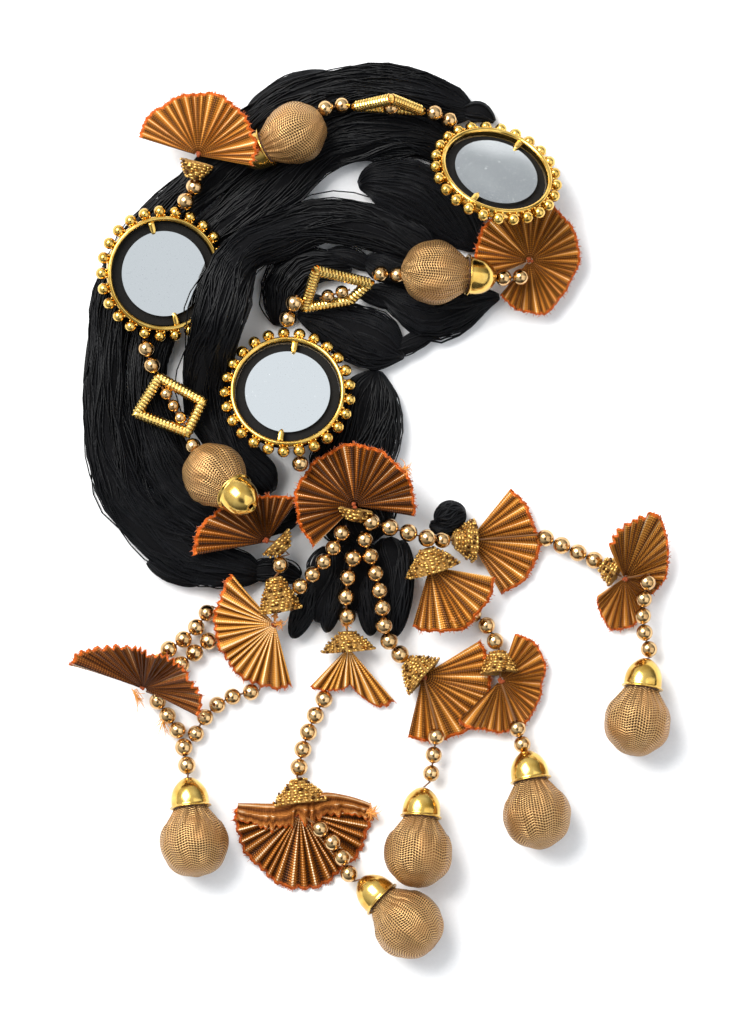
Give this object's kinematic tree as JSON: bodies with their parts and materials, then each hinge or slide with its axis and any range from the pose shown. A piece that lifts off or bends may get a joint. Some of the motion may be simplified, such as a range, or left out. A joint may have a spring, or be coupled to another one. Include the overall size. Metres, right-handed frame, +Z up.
{
  "type": "hair tassel ornament",
  "caption": "Hair ornament of black thread hanks with a garland of round mirrors, capped balls and pleated fans, ending in a tassel of bead strands, lying flat.",
  "frame": {"origin": "middle of the bounding box in plan, on the surface that the ornament lies on", "axes": "+X to the right of the lying ornament, +Y away from the viewer towards the upper fold of the hanks, +Z up"},
  "size_m": [0.1806, 0.2672, 0.0324],
  "materials": {
    "black_thread": "loose twisted thread with a faint sheen",
    "gilt_metal": "polished gilt",
    "black_backing": "matt cloth over card",
    "mirror": "silvered craft mirror",
    "wound_gilt": "flat gilt wire wound in a coil",
    "gold_tissue": "woven metallic tissue",
    "pleated_ribbon": "pleated metallic ribbon with frayed edges",
    "seeded_felt": "felt sewn over with small gilt beads",
    "stringing_thread": "orange sewing thread",
    "gilt_beads": "polished rose gilt"
  },
  "bodies": {
    "root": {"outer_hank": "black_thread", "middle_hank": "black_thread", "inner_hank": "black_thread", "side_hank": "black_thread", "upper_fold": "black_thread", "lower_folds": "black_thread", "inner_folds": "black_thread", "hank_knobs": "black_thread", "ring_left": "gilt_metal", "ring_centre": "gilt_metal", "ring_right": "gilt_metal", "backing_left": "black_backing", "backing_centre": "black_backing", "backing_right": "black_backing", "mirror_left": "mirror", "mirror_centre": "mirror", "mirror_right": "mirror", "wound_frame_left": "wound_gilt", "wound_frame_top": "wound_gilt", "wound_frame_centre": "wound_gilt", "garland_beads": "gilt_beads", "garland_thread": "stringing_thread", "garland_cones": "seeded_felt", "ball_top": "gold_tissue", "ball_centre": "gold_tissue", "ball_left": "gold_tissue", "ball_strand_1": "gold_tissue", "ball_strand_2": "gold_tissue", "ball_strand_3": "gold_tissue", "ball_strand_4": "gold_tissue", "ball_strand_5": "gold_tissue", "cap_top": "gilt_metal", "cap_centre": "gilt_metal", "cap_left": "gilt_metal", "cap_strand_1": "gilt_metal", "cap_strand_2": "gilt_metal", "cap_strand_3": "gilt_metal", "cap_strand_4": "gilt_metal", "cap_strand_5": "gilt_metal", "fan_top_left": "pleated_ribbon", "fan_right": "pleated_ribbon", "fan_lower_left": "pleated_ribbon", "fan_head": "pleated_ribbon", "fan_strand_1_upper": "pleated_ribbon", "fan_strand_1_lower": "pleated_ribbon", "fan_strand_2_upper": "pleated_ribbon", "fan_strand_2_lower": "pleated_ribbon", "fan_strand_3": "pleated_ribbon", "fan_strand_4_upper": "pleated_ribbon", "fan_strand_4_lower": "pleated_ribbon", "fan_strand_5_upper": "pleated_ribbon", "fan_strand_5_lower": "pleated_ribbon", "strand_1": "gilt_beads", "strand_2": "gilt_beads", "strand_3": "gilt_beads", "strand_4": "gilt_beads", "strand_5": "gilt_beads", "tassel_thread": "stringing_thread", "tassel_cones": "seeded_felt"}
  },
  "joints": []
}
